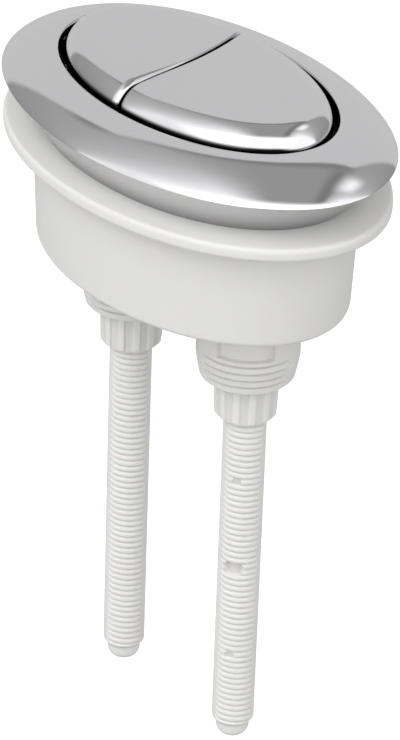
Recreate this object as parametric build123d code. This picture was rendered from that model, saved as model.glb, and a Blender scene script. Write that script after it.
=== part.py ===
from build123d import *
import os
from math import cos, radians, sin

# Push button cistern actuator for dual flush: an oval chrome-plated ring with a split button, a white
# housing that drops through the cistern lid, and two keyed rods that press the valve.
# Millimetres. Z = 0 is the underside of the housing's flange, where it seats on the lid, and +Z is up.
# X runs along the oval, with the full flush at +X and the half flush at -X.

# Split button
button_half_length = 36.6
button_half_width = 21.4
button_edge_round = 6.0
button_wall = 2.0
crown_rise = 0.8
crown_edge_angle = 86
crown_stations = (1.0, 0.6, 0.1)
edge_steps = 4
button_proud = 3.7
button_height = 12.1
split_gap = 0.9
split_x = -1.0
split_bend_setback = 15.4
split_bend_radius = 58.0
full_corner_round = 1.5
half_corner_round = 1.0

# Chrome ring
button_gap = 1.0
ring_band_length = 14.6
ring_band_width = 11.06
dome_rise = 6.1
dome_shoulder = 1.7
dome_fall = 1.3
dome_stations = (0.0, 0.3, 0.55, 0.75, 0.9, 1.0)
flank_height = 9.8
flank_hollow = 0.7
ring_wall = 2.4
ring_edge_round = 0.5
lip_round = 0.6
spigot_wall = 2.2
spigot_relief_length = 0.4
spigot_relief_width = 1.4
spigot_depth = 4.0
foot_ledge_length = 1.5
foot_ledge_width = 0.7

# Snap beads between the ring's spigot and the housing
bead_height = 0.8
bead_thickness = 1.0
bead_width = 10.0
bead_x = 20.0
bead_drop = 2.0
bead_clearance = 0.3

# Housing
flange_thickness = 3.0
flange_overhang_length = 8.3
flange_overhang_width = 5.0
flange_round = 0.8
spigot_fit = 0.3
cup_wall = 2.2
cup_depth = 25.5
cup_draft = 1.0
cup_floor = 2.5
cup_corner_round = 1.5

# Press rods, their thread and the strips that key them
rod_spacing = 39.0
rod_strip_radius = 4.8
thread_depth = 0.4
thread_half_angle = 50
thread_facing = -45
rod_length = 120.0
rod_engagement = 25.0
rod_rise = 24.0
rod_plug_radius = 3.8
rod_plug_length = 4.0
rod_plug_round = 2.6

# Plunger stems and the fits that they run in
running_fit = 0.1
stem_wall = 1.3
key_width = 1.6
key_height = 0.6
key_clearance = 0.2
rod_key_half_angle = 32
rod_key_length = 20.0
neck_wall = 0.7
neck_length = 8.0
neck_relief = 1.0
neck_bead_height = 0.35
neck_bead_thickness = 1.0
neck_bead_lift = 2.0
bore_headroom = 1.0
plate_thickness = 2.5
plate_inset = 0.5
hub_depth = 8.0
press_travel = 8.0
stop_gap = 0.3

# Guide tubes and threaded bosses under the housing
guide_wall = 1.5
guide_end_drop = 13.4
boss_groove = 1.0
boss_wall = 2.2
boss_length = 18.4
boss_lead_in = 4.9
boss_lead_in_depth = 0.9
boss_ridge_pitch = 1.8
boss_ridge_count = 4
boss_ridge_gap = 0.6
boss_ridge_depth = 0.6
boss_ridge_half_angle = 55
window_length = 10.0
window_depth = 1.3
window_half_angle = 33

# Adjusting collars
collar_wall = 1.3
collar_length = 16.0
collar_taper = 0.5
collar_rib_count = 12
collar_rib_width = 1.8
collar_rib_height = 0.5
collar_end_chamfer = 1.3

# Return springs
spring_wire = 0.9
spring_clearance = 0.75
spring_seat_gap = 0.05
spring_turns = 8
spring_steps_per_turn = 16

# Screws that hold each button on its carrier
screw_spacing = 26.0
screw_radius = 1.4
screw_hole_clearance = 0.3
screw_pilot_clearance = 0.05
screw_grip = 6.0
screw_head_radius = 2.8
screw_head_height = 1.6
screw_slot_width = 0.8
screw_slot_depth = 0.7
screw_slot_reach = 1.7
post_wall = 1.2

# Heights that follow from the sizes above
crease_z = flange_thickness + flank_height
lip_z = crease_z + dome_rise
crown_edge_z = lip_z + button_proud
cup_bottom = -cup_depth
cup_floor_z = cup_bottom + cup_floor
plate_top = crown_edge_z - button_height
plate_bottom = plate_top - plate_thickness
hub_bottom = plate_bottom - hub_depth
guide_top = hub_bottom - press_travel - stop_gap
guide_bottom = cup_bottom - guide_end_drop
boss_bottom = cup_bottom - boss_length
collar_top = guide_bottom - stop_gap
collar_bottom = collar_top - collar_length
neck_top = collar_top + neck_relief
neck_bottom = neck_top - neck_length
neck_bead_z = neck_bottom + neck_bead_lift
rod_top = neck_bottom + rod_engagement
rod_bottom = rod_top - rod_length
stem_bore_top = rod_top + rod_rise + bore_headroom
screw_tip = plate_top + screw_grip

# The split's bend starts a set distance behind the button's front edge
split_bend_y = split_bend_setback - button_half_width

# Half lengths and half widths of the ovals, from the button outwards
opening_length = button_half_length + button_gap
opening_width = button_half_width + button_gap
ring_length = opening_length + ring_band_length
ring_width = opening_width + ring_band_width
spigot_bore_length = opening_length + spigot_relief_length
spigot_bore_width = opening_width + spigot_relief_width
spigot_length = spigot_bore_length + spigot_wall
spigot_width = spigot_bore_width + spigot_wall
foot_length = spigot_length + foot_ledge_length
foot_width = spigot_width + foot_ledge_width
cup_bore_length = spigot_length + spigot_fit
cup_bore_width = spigot_width + spigot_fit
cup_length = cup_bore_length + cup_wall
cup_width = cup_bore_width + cup_wall
flange_length = cup_length + flange_overhang_length
flange_width = cup_width + flange_overhang_width

# Radii, from the rod outwards
thread_radius = rod_strip_radius + thread_depth
stem_bore = thread_radius + running_fit
rod_key_radius = rod_strip_radius + running_fit
neck_radius = stem_bore + neck_wall
neck_bead_radius = neck_radius + neck_bead_height
stem_radius = stem_bore + stem_wall
key_radius = stem_radius + key_height
guide_bore = stem_radius + running_fit
keyway_radius = key_radius + key_clearance
guide_radius = guide_bore + guide_wall
boss_bore = guide_radius + boss_groove
boss_radius = boss_bore + boss_wall
collar_bore = neck_radius + running_fit
collar_groove = neck_bead_radius + running_fit
collar_radius = collar_bore + collar_wall
spring_radius = guide_radius + spring_clearance + spring_wire / 2
post_radius = screw_radius + post_wall

# Both rods stand turned the same way, with thread to the front and back and a strip to each side
thread_directions = (thread_facing, thread_facing + 180)
strip_directions = (thread_facing + 90, thread_facing + 270)
# Room for cutting shapes that have to pass right through
reach = 4 * button_half_length


def oval(half_length, half_width, z):
    return Pos(0, 0, z) * Ellipse(half_length, half_width)


def oval_prism(half_length, half_width, bottom, top):
    return extrude(oval(half_length, half_width, bottom), top - bottom)


def disc(radius, bottom, top):
    return extrude(Pos(0, 0, bottom) * Circle(radius), top - bottom)


def cone(bottom_radius, top_radius, bottom, top):
    middle = (bottom + top) / 2
    return Pos(0, 0, middle) * Cone(bottom_radius, top_radius, top - bottom)


def wedge(radius, facing, half_angle, bottom, top):
    """Sector of a disc, centred on a direction in plan."""
    arc = CenterArc((0, 0), radius, facing - half_angle, 2 * half_angle)
    outline = [Line((0, 0), arc @ 0), arc, Line(arc @ 1, (0, 0))]
    return extrude(Pos(0, 0, bottom) * make_face(outline), top - bottom)


def radial_bar(direction, width, length, bottom, top):
    """Bar that runs outwards from the axis."""
    bar = Pos(length / 2, 0, (bottom + top) / 2) * Box(length, width, top - bottom)
    return Rot(0, 0, direction) * bar


def dome(length, width, band_length, band_width, base, rise):
    """Domed oval: level at its opening, falling ever more steeply to its outer edge."""
    sections = []
    for share in dome_stations:
        height = rise * (1 - share**dome_shoulder) ** (1 / dome_fall)
        sections.append(oval(length + band_length * share, width + band_width * share, base + height))
    return loft(sections)


def flank(bottom_length, bottom_width, top_length, top_width, hollow):
    """Undercut below the ring's widest edge, a little hollow between the edge and the foot."""
    middle_length = (bottom_length + top_length) / 2 - hollow
    middle_width = (bottom_width + top_width) / 2 - hollow
    sections = [
        oval(bottom_length, bottom_width, flange_thickness),
        oval(middle_length, middle_width, (flange_thickness + crease_z) / 2),
        oval(top_length, top_width, crease_z),
    ]
    return loft(sections)


def snap_beads(length, width, bead_length, bottom, top):
    """Four short beads round an oval, two in front and two behind."""
    band = oval_prism(length, width, bottom, top)
    beads = Part()
    for x in (-bead_x, bead_x):
        beads += band & Pos(x, 0, (bottom + top) / 2) * Box(bead_length, 2 * reach, top - bottom)
    return beads


def make_ring():
    """Hollow domed ring, undercut to its foot, with a beaded spigot that snaps into the housing."""
    body = dome(opening_length, opening_width, ring_band_length, ring_band_width, crease_z, dome_rise)
    body += flank(foot_length, foot_width, ring_length, ring_width, flank_hollow)
    crease = body.edges().filter_by_position(Axis.Z, crease_z - 0.01, crease_z + 0.01)
    body = fillet(crease, ring_edge_round)
    body += oval_prism(spigot_length, spigot_width, -spigot_depth, flange_thickness)
    bead_bottom = -bead_drop - bead_thickness
    body += snap_beads(
        spigot_length + bead_height, spigot_width + bead_height, bead_width, bead_bottom, -bead_drop
    )
    hollow = dome(
        opening_length,
        opening_width,
        ring_band_length - ring_wall,
        ring_band_width - ring_wall,
        crease_z,
        dome_rise - ring_wall,
    )
    hollow += flank(
        spigot_bore_length, spigot_bore_width, ring_length - ring_wall, ring_width - ring_wall, flank_hollow
    )
    hollow += oval_prism(spigot_bore_length, spigot_bore_width, -spigot_depth, flange_thickness)
    body -= hollow
    body -= oval_prism(opening_length, opening_width, crease_z, lip_z)
    lip = body.edges().filter_by_position(Axis.Z, lip_z - 0.01, lip_z + 0.01)
    return fillet(lip, lip_round)


def split_region(side, shift):
    """Plan region on one side of the split: straight from the front, then a slow bend towards -X."""
    bend_start = Vector(split_x + shift, split_bend_y)
    front = Vector(split_x + shift, -reach)
    eighth_turn = 45
    bend = JernArc(bend_start, (0, 1), split_bend_radius + shift, eighth_turn)
    back = (bend @ 1) + (bend % 1) * reach
    outer_x = side * 2 * reach
    far_side = Polyline(back, (outer_x, back.Y), (outer_x, front.Y), front)
    return make_face([Line(front, bend_start), bend, Line(bend @ 1, back), far_side])


def half_plan(side, inset, corner_round):
    """Plan of one button half, drawn in by an inset, with its front corner rounded if asked."""
    plan = Ellipse(button_half_length - inset, button_half_width - inset)
    plan &= split_region(side, side * (split_gap / 2 + inset))
    if corner_round > 0:
        corner = plan.vertices().sort_by(Axis.Y)[0]
        plan = fillet(corner, corner_round)
    return plan


def crown(inset, bottom):
    """Whole button before it is split: an upright side, a broad quarter round and a low crown."""
    length = button_half_length - inset
    width = button_half_width - inset
    edge_round = button_edge_round - inset
    round_base = crown_edge_z - button_edge_round
    body = oval_prism(length, width, bottom, round_base)
    edge = []
    for step in range(edge_steps + 1):
        angle = radians(crown_edge_angle * step / edge_steps)
        draw_in = edge_round * (1 - cos(angle))
        edge.append(oval(length - draw_in, width - draw_in, round_base + edge_round * sin(angle)))
    body += loft(edge)
    draw_in = edge_round * (1 - cos(radians(crown_edge_angle)))
    top_base = round_base + edge_round * sin(radians(crown_edge_angle))
    top = []
    for share in crown_stations:
        height = top_base + crown_rise * (1 - share**2)
        top.append(oval((length - draw_in) * share, (width - draw_in) * share, height))
    return body + loft(top)


def screw_places():
    """The two screws of a button stand in front of and behind its stem."""
    return [Pos(0, side * screw_spacing / 2, 0) for side in (-1, 1)]


def make_button(side, corner_round):
    """One half of the split button: a hollow cap with a wall along the split and two screw posts."""
    body = crown(0, plate_top) & extrude(half_plan(side, 0, corner_round), reach)
    hollow = crown(button_wall, plate_top) & extrude(half_plan(side, button_wall, 0), reach)
    cap = body - hollow
    stem_place = Pos(side * rod_spacing / 2, 0, 0)
    for place in screw_places():
        post = disc(post_radius, plate_top, crown_edge_z)
        pilot = disc(screw_radius + screw_pilot_clearance, plate_top, screw_tip + screw_hole_clearance)
        cap += (stem_place * place * post) & hollow
        cap -= stem_place * place * pilot
    return cap


def rod_section(bottom, top):
    """Round rod with a raised thread sector in front and behind, and a plain strip to each side."""
    body = disc(rod_strip_radius, bottom, top)
    for direction in thread_directions:
        body += disc(thread_radius, bottom, top) & wedge(reach, direction, thread_half_angle, bottom, top)
    return body


def make_rod():
    """Press rod: its lower end is chamfered down to a plain plug with a rounded tip."""
    plug_top = rod_bottom + rod_plug_length
    chamfer_top = plug_top + 2 * (thread_radius - rod_plug_radius)
    chamfer_radius = rod_plug_radius + chamfer_top - plug_top
    body = rod_section(plug_top, rod_top)
    body -= disc(reach, plug_top, chamfer_top) - cone(rod_plug_radius, chamfer_radius, plug_top, chamfer_top)
    plug = disc(rod_plug_radius, rod_bottom, plug_top)
    tip = plug.edges().sort_by(Axis.Z)[0]
    return body + fillet(tip, rod_plug_round)


def make_carrier(side):
    """Plunger: a plate under the button, a hub, and a keyed hollow stem that ends in a beaded neck."""
    stem_place = Pos(side * rod_spacing / 2, 0, 0)
    stem = disc(guide_radius, hub_bottom, plate_bottom)
    stem += disc(stem_radius, neck_top, hub_bottom)
    stem += disc(neck_radius, neck_bottom, neck_top)
    stem += disc(neck_bead_radius, neck_bead_z, neck_bead_z + neck_bead_thickness)
    for direction in (90, 270):
        stem += radial_bar(direction, key_width, key_radius, neck_top, hub_bottom)
    bore = disc(stem_bore, neck_bottom, stem_bore_top)
    for direction in strip_directions:
        rib = wedge(reach, direction, rod_key_half_angle, neck_bottom, neck_bottom + rod_key_length)
        bore -= rib - disc(rod_key_radius, neck_bottom, neck_bottom + rod_key_length)
    plate = extrude(Pos(0, 0, plate_bottom) * half_plan(side, plate_inset, 0), plate_thickness)
    for place in screw_places():
        plate -= stem_place * place * disc(screw_radius + screw_hole_clearance, plate_bottom, plate_top)
    return plate + stem_place * (stem - bore)


def make_cap_screws(side):
    """Cross-slotted screws that pass up through the plate into the button's posts."""
    head_bottom = plate_bottom - screw_head_height
    slot_top = head_bottom + screw_slot_depth
    screws = Part()
    for place in screw_places():
        head = disc(screw_head_radius, head_bottom, plate_bottom)
        for direction in (0, 90, 180, 270):
            head -= radial_bar(direction, screw_slot_width, screw_slot_reach, head_bottom, slot_top)
        screws += place * (head + disc(screw_radius, plate_bottom, screw_tip))
    return Pos(side * rod_spacing / 2, 0, 0) * screws


def make_spring():
    """Round wire coil between the cup's floor and the plunger's plate, drawn as a six-sided wire."""
    bottom = cup_floor_z + spring_seat_gap + spring_wire / 2
    top = plate_bottom - spring_seat_gap - spring_wire / 2
    steps = spring_turns * spring_steps_per_turn
    rise = (top - bottom) / steps
    sections = []
    for step in range(steps + 1):
        angle = radians(360 * step / spring_steps_per_turn)
        radial = Vector(cos(angle), sin(angle), 0)
        run = spring_radius * radians(360 / spring_steps_per_turn)
        along = Vector(-sin(angle) * run, cos(angle) * run, rise)
        centre = radial * spring_radius + Vector(0, 0, bottom + rise * step)
        sections.append(Plane(centre, radial, along) * RegularPolygon(spring_wire / 2, 6))
    return loft(sections, ruled=True)


def make_collar():
    """Fluted nut: it turns on the stem's neck, and its threaded end carries the rod."""
    root = collar_radius - collar_rib_height
    body = cone(root - collar_taper, root, collar_bottom, collar_top)
    outer = cone(collar_radius - collar_taper, collar_radius, collar_bottom, collar_top)
    for rib in range(collar_rib_count):
        direction = 360 * rib / collar_rib_count
        body += outer & radial_bar(direction, collar_rib_width, reach, collar_bottom, collar_top)
    end_radius = collar_radius - collar_taper - collar_end_chamfer
    chamfer_rise = reach - end_radius
    body &= cone(end_radius, reach, collar_bottom, collar_bottom + chamfer_rise)
    thread_top = neck_bottom - stop_gap
    body -= disc(collar_bore, thread_top, collar_top)
    body -= disc(thread_radius + running_fit, collar_bottom, thread_top)
    groove_bottom = neck_bead_z - running_fit
    groove_top = neck_bead_z + neck_bead_thickness + running_fit
    return body - disc(collar_groove, groove_bottom, groove_top)


def boss_surface(z):
    """Radius of the boss's outside: upright, then a lead-in towards its lower rim."""
    below = max(0, boss_bottom + boss_lead_in - z)
    return boss_radius - boss_lead_in_depth * below / boss_lead_in


def make_boss():
    """Threaded boss under the cup, with ridges and a sunk window in front and behind."""
    shoulder = boss_bottom + boss_lead_in
    body = disc(boss_radius, shoulder, cup_bottom)
    body += cone(boss_surface(boss_bottom), boss_radius, boss_bottom, shoulder)
    window_bottom = cup_bottom - window_length
    for direction in thread_directions:
        window = wedge(reach, direction, window_half_angle, window_bottom, cup_bottom)
        body -= window - disc(boss_radius - window_depth, window_bottom, cup_bottom)
        for ridge in range(boss_ridge_count):
            top = window_bottom - boss_ridge_pitch * (ridge + 0.5)
            bottom = top - boss_ridge_gap
            groove = wedge(reach, direction, boss_ridge_half_angle, bottom, top)
            body -= groove - disc(boss_surface(bottom) - boss_ridge_depth, bottom, top)
    body -= disc(boss_bore, boss_bottom, cup_bottom)
    return body


def guide_cut(bottom, top):
    """Bore and two keyways for a plunger stem."""
    cut = disc(guide_bore, bottom, top)
    for direction in (90, 270):
        width = key_width + 2 * key_clearance
        cut += radial_bar(direction, width, keyway_radius, bottom, top)
    return cut


def make_housing():
    """Oval cup with a flange on the lid, two guide tubes through its floor and two bosses below."""
    flange = oval_prism(flange_length, flange_width, 0, flange_thickness)
    flange = fillet(flange.edges(), flange_round)
    bottom_length = cup_length - cup_draft
    bottom_width = cup_width - cup_draft
    cup = loft([oval(bottom_length, bottom_width, cup_bottom), oval(cup_length, cup_width, 0)])
    cup = fillet(cup.edges().sort_by(Axis.Z)[0], cup_corner_round)
    inside = loft(
        [
            oval(cup_bore_length - cup_draft, cup_bore_width - cup_draft, cup_floor_z),
            oval(cup_bore_length, cup_bore_width, -spigot_depth),
        ]
    )
    inside += oval_prism(cup_bore_length, cup_bore_width, -spigot_depth, flange_thickness)
    inside += snap_beads(
        cup_bore_length + bead_height,
        cup_bore_width + bead_height,
        bead_width + 2 * bead_clearance,
        -bead_drop - bead_thickness - bead_clearance,
        -bead_drop + bead_clearance,
    )
    body = flange + cup - inside
    for side in (-1, 1):
        place = Pos(side * rod_spacing / 2, 0, 0)
        body += place * make_boss()
        body -= place * guide_cut(cup_bottom, cup_floor_z)
        body += place * (disc(guide_radius, guide_bottom, guide_top) - guide_cut(guide_bottom, guide_top))
    return body


parts = {"bezel_ring": make_ring(), "housing": make_housing()}
rod = make_rod()
collar = make_collar()
spring = make_spring()
for name, side, corner_round in (("full", 1, full_corner_round), ("half", -1, half_corner_round)):
    stem_place = Pos(side * rod_spacing / 2, 0, 0)
    parts[f"{name}_button"] = make_button(side, corner_round)
    parts[f"{name}_carrier"] = make_carrier(side)
    parts[f"{name}_cap_screws"] = make_cap_screws(side)
    parts[f"{name}_spring"] = stem_place * spring
    parts[f"{name}_collar"] = stem_place * collar
    parts[f"{name}_rod"] = stem_place * rod

os.makedirs("parts", exist_ok=True)
for name, shape in parts.items():
    export_step(shape, f"parts/{name}.step")
    print(name, len(shape.solids()), "solid", round(shape.volume, 1), "mm3")
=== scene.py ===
# %% [markdown]
# Push button cistern actuator
#
# An oval chrome ring holds a button that is split in two, for a half and a full flush. A white housing
# drops through the cistern lid, and two threaded rods reach down to the flush valve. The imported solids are
# loaded first as a fixed frame, so that every surface made here lands where the working part is.

# %% Load the frame
import bmesh
import bpy
import numpy as np
from mathutils import Matrix, Vector


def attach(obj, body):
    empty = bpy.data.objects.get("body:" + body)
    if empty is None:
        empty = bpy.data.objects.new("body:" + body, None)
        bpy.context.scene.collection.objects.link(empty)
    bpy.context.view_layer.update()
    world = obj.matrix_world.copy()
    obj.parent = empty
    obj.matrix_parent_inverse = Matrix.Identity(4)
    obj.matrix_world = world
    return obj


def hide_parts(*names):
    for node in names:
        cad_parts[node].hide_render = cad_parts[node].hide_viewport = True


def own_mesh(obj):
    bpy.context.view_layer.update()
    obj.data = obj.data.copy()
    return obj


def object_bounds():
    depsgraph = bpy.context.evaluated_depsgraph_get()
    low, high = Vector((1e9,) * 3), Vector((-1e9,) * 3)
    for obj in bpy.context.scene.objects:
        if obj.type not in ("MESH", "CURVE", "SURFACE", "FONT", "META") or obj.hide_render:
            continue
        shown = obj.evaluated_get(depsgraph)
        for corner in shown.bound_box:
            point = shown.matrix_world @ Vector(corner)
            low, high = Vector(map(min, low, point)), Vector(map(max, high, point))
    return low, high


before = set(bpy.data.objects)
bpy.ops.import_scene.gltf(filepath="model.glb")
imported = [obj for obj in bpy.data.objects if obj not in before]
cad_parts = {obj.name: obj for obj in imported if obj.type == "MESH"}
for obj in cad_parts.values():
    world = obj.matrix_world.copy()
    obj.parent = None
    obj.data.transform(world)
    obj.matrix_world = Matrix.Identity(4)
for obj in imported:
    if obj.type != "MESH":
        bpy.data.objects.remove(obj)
cad_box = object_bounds()
MM = 0.001

# %% [markdown]
# Camera
#
# The picture was taken from far off with a long lens, looking down on the ring at 31 degrees and a little
# rolled. The camera's angles, its distance and its focal length in pixels are enough to set it up. The
# object isn't centred in the picture, and a lens shift could do that, but it would follow the camera into
# other views, so the camera is aimed a little past the object instead.

# %% Camera
picture_width = 400
picture_height = 740
focal_pixels = 3972.65
aim_point = Vector((0, 0, -44.4)) * MM
aim_pixel = (188.77, 335.16)
camera_distance = 875.7 * MM
camera_azimuth = np.radians(48.44)
camera_elevation = np.radians(31.0)
camera_roll = np.radians(1.91)
sensor_width = 36


def camera_axes():
    """Right, up and back of the camera: back points to it from the object, and roll turns the other two."""
    level = np.cos(camera_elevation)
    rise = np.sin(camera_elevation)
    back = Vector((np.sin(camera_azimuth) * level, -np.cos(camera_azimuth) * level, rise))
    side = Vector((np.cos(camera_azimuth), np.sin(camera_azimuth), 0))
    up = back.cross(side)
    right = side * np.cos(camera_roll) + up * np.sin(camera_roll)
    return right, up * np.cos(camera_roll) - side * np.sin(camera_roll), back


def add_camera():
    """Camera whose axis is turned until the aim point falls on its pixel."""
    right, up, back = camera_axes()
    off_axis = Vector((aim_pixel[0] - picture_width / 2, picture_height / 2 - aim_pixel[1], -focal_pixels))
    turn = off_axis.rotation_difference(Vector((0, 0, -1))).to_matrix()
    lens = bpy.data.cameras.new("camera")
    lens.sensor_width = sensor_width
    lens.lens = sensor_width * focal_pixels / picture_height
    camera = bpy.data.objects.new("camera", lens)
    facing = Matrix((right, up, back)).transposed() @ turn
    camera.matrix_world = Matrix.Translation(aim_point + back * camera_distance) @ facing.to_4x4()
    bpy.context.collection.objects.link(camera)
    bpy.context.scene.camera = camera
    return camera


camera = add_camera()
print("lens", round(camera.data.lens, 1), "mm")

# %% [markdown]
# Finishes
#
# There is white plastic in two shades, bright chrome plating on moulded plastic, drawn spring wire and
# zinc-plated screws. None of them is one flat colour: a moulding is slightly mottled and has a fine skin,
# plating follows the faint waviness of the moulding under it, and steel is duller in some places than in
# others. Images could carry that, but noise worked out from each piece's own place needs no file and has
# no seams. What several finishes share is a node group that is built once.

# %% Node helpers
def place_node(tree, kind, settings=None, **inputs):
    """Add a node. Each input is a number to set, or an output socket to link to it."""
    made = tree.nodes.new(kind)
    for name, value in (settings or {}).items():
        setattr(made, name, value)
    for name, value in inputs.items():
        plug(tree, made.inputs[name.replace("_", " ")], value)
    return made


def plug(tree, socket, value):
    """Set a socket to a number or a colour, or link an output to it."""
    if isinstance(value, bpy.types.NodeSocket):
        tree.links.new(value, socket)
    else:
        socket.default_value = value


def calculate(tree, operation, *values):
    """Math node with its values in order."""
    made = place_node(tree, "ShaderNodeMath", {"operation": operation})
    for socket, value in zip(made.inputs, values):
        plug(tree, socket, value)
    return made.outputs[0]


def place_group(tree, group, values):
    """Node that stands for a group, with values of its own."""
    made = tree.nodes.new("ShaderNodeGroup")
    made.node_tree = group
    for title, value in values.items():
        plug(tree, made.inputs[title], value)
    return made


def start_group(name, inputs, outputs):
    """Empty shader node group with named sockets: returns the group, its input node and its output node."""
    group = bpy.data.node_groups.new(name, "ShaderNodeTree")
    for title, kind in inputs:
        group.interface.new_socket(title, in_out="INPUT", socket_type=kind)
    for title, kind in outputs:
        group.interface.new_socket(title, in_out="OUTPUT", socket_type=kind)
    return group, group.nodes.new("NodeGroupInput"), group.nodes.new("NodeGroupOutput")


NUMBER = "NodeSocketFloat"
COLOUR = "NodeSocketColor"

# %% [markdown]
# Surface skin
#
# Every finish here needs the same three things: a colour that drifts a little over some centimetres, a
# gloss that drifts with it, and a fine relief. One group gives all three, and each material sets how coarse
# and how strong they are. Object coordinates are metres here, so a noise scale of 40 means patches of about
# 25 mm.

# %% Surface skin group
patch_detail = 4.0
grain_detail = 3.0
noise_middle = 0.5


def surface_skin():
    """Patchy noise scales the colour and slides the roughness, and a finer noise is the relief's height."""
    inputs = [("Colour", COLOUR), ("Patch Scale", NUMBER), ("Mottle", NUMBER), ("Roughness", NUMBER)]
    inputs += [("Gloss Drift", NUMBER), ("Grain Scale", NUMBER)]
    outputs = [("Colour", COLOUR), ("Roughness", NUMBER), ("Grain", NUMBER)]
    group, given, result = start_group("surface_skin", inputs, outputs)
    place = place_node(group, "ShaderNodeTexCoord").outputs["Object"]
    patch_scale = given.outputs["Patch Scale"]
    patches = place_node(group, "ShaderNodeTexNoise", Vector=place, Scale=patch_scale, Detail=patch_detail)
    drift = calculate(group, "SUBTRACT", patches.outputs["Fac"], noise_middle)
    shade = calculate(group, "MULTIPLY_ADD", drift, given.outputs["Mottle"], 1.0)
    tinted = place_node(group, "ShaderNodeVectorMath", {"operation": "SCALE"}, Scale=shade)
    group.links.new(given.outputs["Colour"], tinted.inputs[0])
    gloss_drift = given.outputs["Gloss Drift"]
    gloss = calculate(group, "MULTIPLY_ADD", drift, gloss_drift, given.outputs["Roughness"])
    grain_scale = given.outputs["Grain Scale"]
    grain = place_node(group, "ShaderNodeTexNoise", Vector=place, Scale=grain_scale, Detail=grain_detail)
    group.links.new(tinted.outputs[0], result.inputs["Colour"])
    group.links.new(gloss, result.inputs["Roughness"])
    group.links.new(grain.outputs["Fac"], result.inputs["Grain"])
    return group


SKIN = surface_skin()
print("surface skin,", len(SKIN.nodes), "nodes")


# %% Material with a skin
def skinned_material(name, skin, relief, relief_depth, **shader):
    """Principled shader whose colour, roughness and bump come from the surface skin."""
    material = bpy.data.materials.new(name)
    material.use_nodes = True
    tree = material.node_tree
    surface = tree.nodes["Principled BSDF"]
    for title, value in shader.items():
        surface.inputs[title.replace("_", " ")].default_value = value
    layer = place_group(tree, SKIN, skin)
    tree.links.new(layer.outputs["Colour"], surface.inputs["Base Color"])
    tree.links.new(layer.outputs["Roughness"], surface.inputs["Roughness"])
    height = layer.outputs["Grain"]
    bump = place_node(tree, "ShaderNodeBump", Strength=relief, Distance=relief_depth, Height=height)
    tree.links.new(bump.outputs["Normal"], surface.inputs["Normal"])
    print("finish", name)
    return material


# %% [markdown]
# Painted shade in recesses
#
# Light dies away in narrow gaps and grooves, and there the shade is painted into the colour. Where those are
# can't be read from a place in the room, so a mesh carries the painted shade as an attribute of its points,
# which runs from 0 in the open to 1 deep down. A second group mixes a darker tone into a finish's
# colour there.

# %% Painted shade group
def painted_shade_mix():
    """Painted shade: an attribute gives the share of the dark tone that is mixed into the colour."""
    inputs = [("Colour", COLOUR), ("Tone", COLOUR)]
    group, given, result = start_group("painted_shade_mix", inputs, [("Colour", COLOUR)])
    # the attribute says how much painted shade each point gets
    painted_shade = place_node(group, "ShaderNodeAttribute", {"attribute_name": "painted_shade"}).outputs["Fac"]
    colour = given.outputs["Colour"]
    tone = given.outputs["Tone"]
    blend = place_node(group, "ShaderNodeMixRGB", Fac=painted_shade, Color1=colour, Color2=tone)
    group.links.new(blend.outputs["Color"], result.inputs["Colour"])
    return group


PAINTED_SHADE_MIX = painted_shade_mix()
print("recess shade,", len(PAINTED_SHADE_MIX.nodes), "nodes")


# %% Painted shade in recesses
def paint_shade_in_recesses(material, tone):
    """Lay the painted shade group between the material's colour and its shader."""
    tree = material.node_tree
    base = tree.nodes["Principled BSDF"].inputs["Base Color"]
    layer = place_group(tree, PAINTED_SHADE_MIX, {"Colour": base.links[0].from_socket, "Tone": tone})
    tree.links.new(layer.outputs["Colour"], base)
    print(material.name, "darkens in its recesses")


# %% [markdown]
# White mouldings
#
# The housing and the rods are moulded in a slightly warm white plastic, satin rather than glossy. A plain
# white would look like chalk. A little light goes into such plastic before it comes back out, which softens
# the shade in grooves, so the shader has a shallow subsurface. The rods are a touch paler than the housing.

# %% White mouldings
housing_skin = {"Colour": (0.82, 0.815, 0.795, 1), "Patch Scale": 35.0, "Mottle": 0.05}
housing_skin |= {"Roughness": 0.38, "Gloss Drift": 0.16, "Grain Scale": 900.0}
rod_skin = {"Colour": (0.855, 0.85, 0.835, 1), "Patch Scale": 60.0, "Mottle": 0.05}
rod_skin |= {"Roughness": 0.42, "Gloss Drift": 0.16, "Grain Scale": 1100.0}
# darker tone mixed into the white plastic in grooves and gaps: painted shade
painted_groove_shade = (0.45, 0.445, 0.43, 1)
translucence = {"Subsurface_Weight": 0.1, "Subsurface_Scale": 0.0004}
moulding_relief = {"relief": 0.1, "relief_depth": 0.0001}
housing_plastic = skinned_material("housing_plastic", housing_skin, **moulding_relief, **translucence)
rod_plastic = skinned_material("rod_plastic", rod_skin, **moulding_relief, **translucence)
paint_shade_in_recesses(housing_plastic, painted_groove_shade)
paint_shade_in_recesses(rod_plastic, painted_groove_shade)

# %% [markdown]
# Chrome plating
#
# Chrome on plastic is a mirror that shows its surroundings, so its look is mostly the studio's. What makes
# it plating and not glass is a slight haze, and a waviness of a few microns from the moulding below. In
# narrow gaps and under the ring a painted shade darkens its colour, nearly to black deep in a gap.

# %% Chrome plating
chrome_skin = {"Colour": (0.83, 0.83, 0.845, 1), "Patch Scale": 30.0, "Mottle": 0.03}
chrome_skin |= {"Roughness": 0.07, "Gloss Drift": 0.05, "Grain Scale": 90.0}
# near-black tone painted into the chrome in gaps and under the ring: painted shade
painted_gap_shade = (0.012, 0.012, 0.013, 1)
plating_relief = {"relief": 0.05, "relief_depth": 0.0001}
chrome_plate = skinned_material("chrome_plate", chrome_skin, **plating_relief, Metallic=1.0)
paint_shade_in_recesses(chrome_plate, painted_gap_shade)

# %% [markdown]
# Steel
#
# The springs are drawn wire and the screws are zinc plated. Both are duller than the chrome. Scratches could
# be drawn in an image, but on pieces this small a strong, fine mottle in the skin does as well.

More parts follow.
